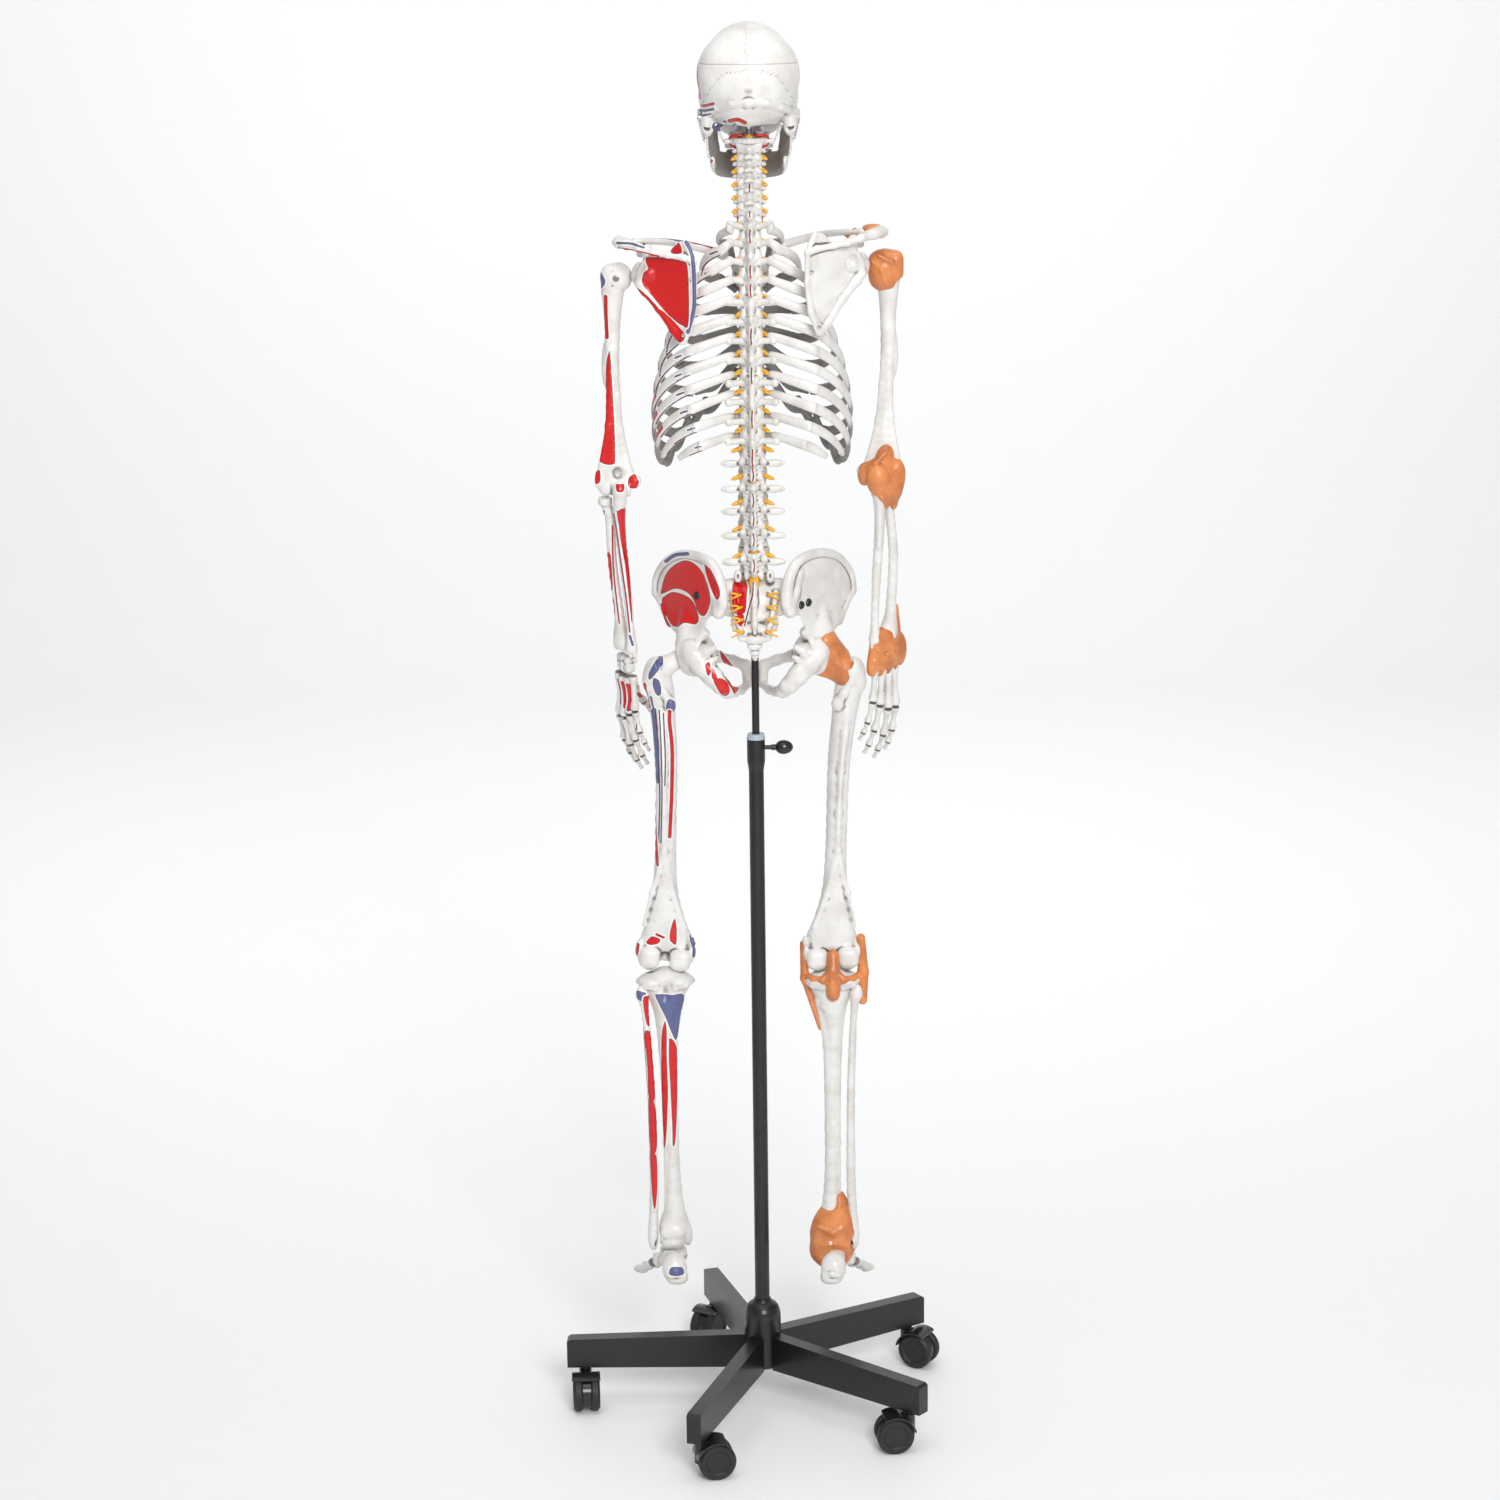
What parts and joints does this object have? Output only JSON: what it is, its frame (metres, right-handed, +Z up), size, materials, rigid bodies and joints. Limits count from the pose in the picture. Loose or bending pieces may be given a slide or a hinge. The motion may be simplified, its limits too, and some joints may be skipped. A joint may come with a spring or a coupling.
{
  "type": "human skeleton model",
  "caption": "Life-size jointed human skeleton on a rolling star-base stand, with painted muscle areas on one side and moulded ligaments on the other.",
  "frame": {"origin": "on the floor, on the axis of the stand pole", "axes": "+Z up, -Y the way the skeleton faces, +X to the skeleton's left"},
  "size_m": [0.5206, 0.5194, 1.8712],
  "materials": {
    "black_paint": "glossy black powder coat",
    "dark_steel": "black coated steel rod",
    "grey_collar": "light grey-blue moulded plastic",
    "black_plastic": "moulded black plastic",
    "caster_plastic": "moulded black nylon",
    "caster_tread": "black rolling tread",
    "steel": "zinc-plated steel",
    "disc": "flexible tan disc",
    "nerve": "yellow moulded nerve",
    "cartilage": "grey flexible cartilage",
    "ligament": "orange-brown flexible ligament",
    "bone": "ivory cast plastic with painted areas on the left side"
  },
  "bodies": {
    "base": {"base_arms": "black_paint", "base_hub": "black_paint", "stand_tube": "black_paint", "tube_collar": "grey_collar"},
    "knob": {"clamp_knob": "black_plastic"},
    "caster_1": {"caster_hood_1": "caster_plastic"},
    "wheels_1": {"caster_wheels_1": "caster_tread"},
    "caster_2": {"caster_hood_2": "caster_plastic"},
    "wheels_2": {"caster_wheels_2": "caster_tread"},
    "caster_3": {"caster_hood_3": "caster_plastic"},
    "wheels_3": {"caster_wheels_3": "caster_tread"},
    "caster_4": {"caster_hood_4": "caster_plastic"},
    "wheels_4": {"caster_wheels_4": "caster_tread"},
    "caster_5": {"caster_hood_5": "caster_plastic"},
    "wheels_5": {"caster_wheels_5": "caster_tread"},
    "mast": {"stand_rod": "dark_steel"},
    "torso": {"spine_core": "steel", "vertebrae": "bone", "vertebral_discs": "disc", "sacrum": "bone", "spinal_nerves": "nerve", "sternum": "bone", "costal_cartilages": "cartilage", "ribs": "bone", "left_scapula": "bone", "right_scapula": "bone", "clavicles": "bone", "left_hip_bone": "bone", "right_hip_bone": "bone", "torso_fasteners": "steel", "shoulder_ligament": "ligament", "hip_ligament": "ligament"},
    "skull": {"skull": "bone", "jaw_springs": "steel"},
    "skull_cap": {"calvarium": "bone"},
    "jaw": {"mandible": "bone"},
    "left_shoulder_joint": {"left_shoulder_bracket": "steel"},
    "left_upper_arm": {"left_humerus": "bone"},
    "left_forearm": {"left_ulna": "bone", "left_radius": "bone"},
    "left_palm": {"left_hand": "bone"},
    "left_thigh": {"left_femur": "bone", "left_patella": "bone"},
    "left_shank": {"left_tibia": "bone", "left_fibula": "bone"},
    "left_ankle_and_foot": {"left_foot": "bone"},
    "right_shoulder_joint": {"right_shoulder_bracket": "steel"},
    "right_upper_arm": {"right_humerus": "bone", "elbow_ligament": "ligament"},
    "right_forearm": {"right_ulna": "bone", "right_radius": "bone", "wrist_ligament": "ligament"},
    "right_palm": {"right_hand": "bone"},
    "right_thigh": {"right_femur": "bone", "right_patella": "bone", "knee_ligament": "ligament"},
    "right_shank": {"right_tibia": "bone", "right_fibula": "bone", "ankle_ligament": "ligament"},
    "right_ankle_and_foot": {"right_foot": "bone"}
  },
  "joints": [
    {"name": "knob_turn", "type": "hinge", "parent": "base", "child": "knob", "pos_m": [-0.03, 0, 0.934], "axis": [1, 0, 0], "range_deg": [-360, 0]},
    {"name": "caster_swivel_1", "type": "hinge", "parent": "base", "child": "caster_1", "pos_m": [0.24585, -0.00859, 0.025], "axis": [0, 0, 1], "continuous": true},
    {"name": "wheel_spin_1", "type": "hinge", "parent": "caster_1", "child": "wheels_1", "pos_m": [0.24411, 0.01134, 0.025], "axis": [-0.9962, -0.0872, 0], "continuous": true},
    {"name": "caster_swivel_2", "type": "hinge", "parent": "base", "child": "caster_2", "pos_m": [0.08414, 0.23116, 0.025], "axis": [0, 0, 1], "continuous": true},
    {"name": "wheel_spin_2", "type": "hinge", "parent": "caster_2", "child": "wheels_2", "pos_m": [0.06457, 0.22701, 0.025], "axis": [0.2079, -0.9781, 0], "continuous": true},
    {"name": "caster_swivel_3", "type": "hinge", "parent": "base", "child": "caster_3", "pos_m": [-0.19385, 0.15145, 0.025], "axis": [0, 0, 1], "continuous": true},
    {"name": "wheel_spin_3", "type": "hinge", "parent": "caster_3", "child": "wheels_3", "pos_m": [-0.17405, 0.15424, 0.025], "axis": [-0.1392, 0.9903, 0], "continuous": true},
    {"name": "caster_swivel_4", "type": "hinge", "parent": "base", "child": "caster_4", "pos_m": [-0.20394, -0.13756, 0.025], "axis": [0, 0, 1], "continuous": true},
    {"name": "wheel_spin_4", "type": "hinge", "parent": "caster_4", "child": "wheels_4", "pos_m": [-0.22126, -0.12756, 0.025], "axis": [-0.5, -0.866, 0], "continuous": true},
    {"name": "caster_swivel_5", "type": "hinge", "parent": "base", "child": "caster_5", "pos_m": [0.06781, -0.23647, 0.025], "axis": [0, 0, 1], "continuous": true},
    {"name": "wheel_spin_5", "type": "hinge", "parent": "caster_5", "child": "wheels_5", "pos_m": [0.07781, -0.21915, 0.025], "axis": [-0.866, 0.5, 0], "continuous": true},
    {"name": "height_slide", "type": "slide", "parent": "base", "child": "mast", "axis": [0, 0, 1], "range_m": [-0.03, 0.15]},
    {"name": "skeleton_turn", "type": "hinge", "parent": "mast", "child": "torso", "pos_m": [0, 0, 1.18], "axis": [0, 0, 1], "continuous": true},
    {"name": "head_turn", "type": "hinge", "parent": "torso", "child": "skull", "pos_m": [0, 0, 1.745], "axis": [0, 0, 1], "range_deg": [-50, 50]},
    {"name": "skull_cap_lift", "type": "slide", "parent": "skull", "child": "skull_cap", "axis": [0, 0, 1], "range_m": [0, 0.12]},
    {"name": "jaw_open", "type": "hinge", "parent": "skull", "child": "jaw", "pos_m": [0, -0.009, 1.752], "axis": [1, 0, 0], "range_deg": [0, 22], "stiffness_Nm_per_rad": 0.3, "springref_deg": -14.32, "deforming": ["jaw_springs"]},
    {"name": "left_arm_swing", "type": "hinge", "parent": "torso", "child": "left_shoulder_joint", "pos_m": [0.171, 0.014, 1.557], "axis": [-1, 0, 0], "range_deg": [-35, 150]},
    {"name": "left_arm_spread", "type": "hinge", "parent": "left_shoulder_joint", "child": "left_upper_arm", "pos_m": [0.171, 0.014, 1.557], "axis": [0, -1, 0], "range_deg": [0, 80]},
    {"name": "left_elbow", "type": "hinge", "parent": "left_upper_arm", "child": "left_forearm", "pos_m": [0.1786, 0.014, 1.28511], "axis": [-0.9996, 0, -0.0279], "range_deg": [-9, 96]},
    {"name": "left_wrist", "type": "hinge", "parent": "left_forearm", "child": "left_palm", "pos_m": [0.171, -0.03252, 1.0577], "axis": [-0.526, 0.8422, -0.1182], "range_deg": [-40, 40]},
    {"name": "left_hip", "type": "hinge", "parent": "torso", "child": "left_thigh", "pos_m": [0.08, -0.015, 1.058], "axis": [-1, 0, 0], "range_deg": [-15, 80]},
    {"name": "left_knee", "type": "hinge", "parent": "left_thigh", "child": "left_shank", "pos_m": [0.12587, -0.015, 0.64252], "axis": [0.994, 0, 0.1097], "range_deg": [-2, 78]},
    {"name": "left_ankle", "type": "hinge", "parent": "left_shank", "child": "left_ankle_and_foot", "pos_m": [0.12174, -0.00142, 0.25078], "axis": [0.9999, 0.0042, -0.0104], "range_deg": [-20, 14]},
    {"name": "right_arm_swing", "type": "hinge", "parent": "torso", "child": "right_shoulder_joint", "pos_m": [-0.171, 0.014, 1.566], "axis": [-1, 0, 0], "range_deg": [-35, 150], "deforming": ["shoulder_ligament"]},
    {"name": "right_arm_spread", "type": "hinge", "parent": "right_shoulder_joint", "child": "right_upper_arm", "pos_m": [-0.171, 0.014, 1.566], "axis": [0, 1, 0], "range_deg": [0, 80], "deforming": ["shoulder_ligament"]},
    {"name": "right_elbow", "type": "hinge", "parent": "right_upper_arm", "child": "right_forearm", "pos_m": [-0.16815, 0.014, 1.29401], "axis": [-0.9999, 0, -0.0105], "range_deg": [-9, 96], "deforming": ["elbow_ligament"]},
    {"name": "right_wrist", "type": "hinge", "parent": "right_forearm", "child": "right_palm", "pos_m": [-0.17083, -0.02957, 1.06602], "axis": [-0.7442, -0.6597, 0.1046], "range_deg": [-40, 40], "deforming": ["wrist_ligament"]},
    {"name": "right_hip", "type": "hinge", "parent": "torso", "child": "right_thigh", "pos_m": [-0.08, -0.015, 1.058], "axis": [-1, 0, 0], "range_deg": [-15, 80], "deforming": ["hip_ligament"]},
    {"name": "right_knee", "type": "hinge", "parent": "right_thigh", "child": "right_shank", "pos_m": [-0.09969, -0.015, 0.64046], "axis": [0.9989, 0, -0.0471], "range_deg": [-2, 78], "deforming": ["knee_ligament"]},
    {"name": "right_ankle", "type": "hinge", "parent": "right_shank", "child": "right_ankle_and_foot", "pos_m": [-0.09968, -0.00134, 0.2487], "axis": [1, -0.0016, 0], "range_deg": [-20, 14], "deforming": ["ankle_ligament"]}
  ]
}
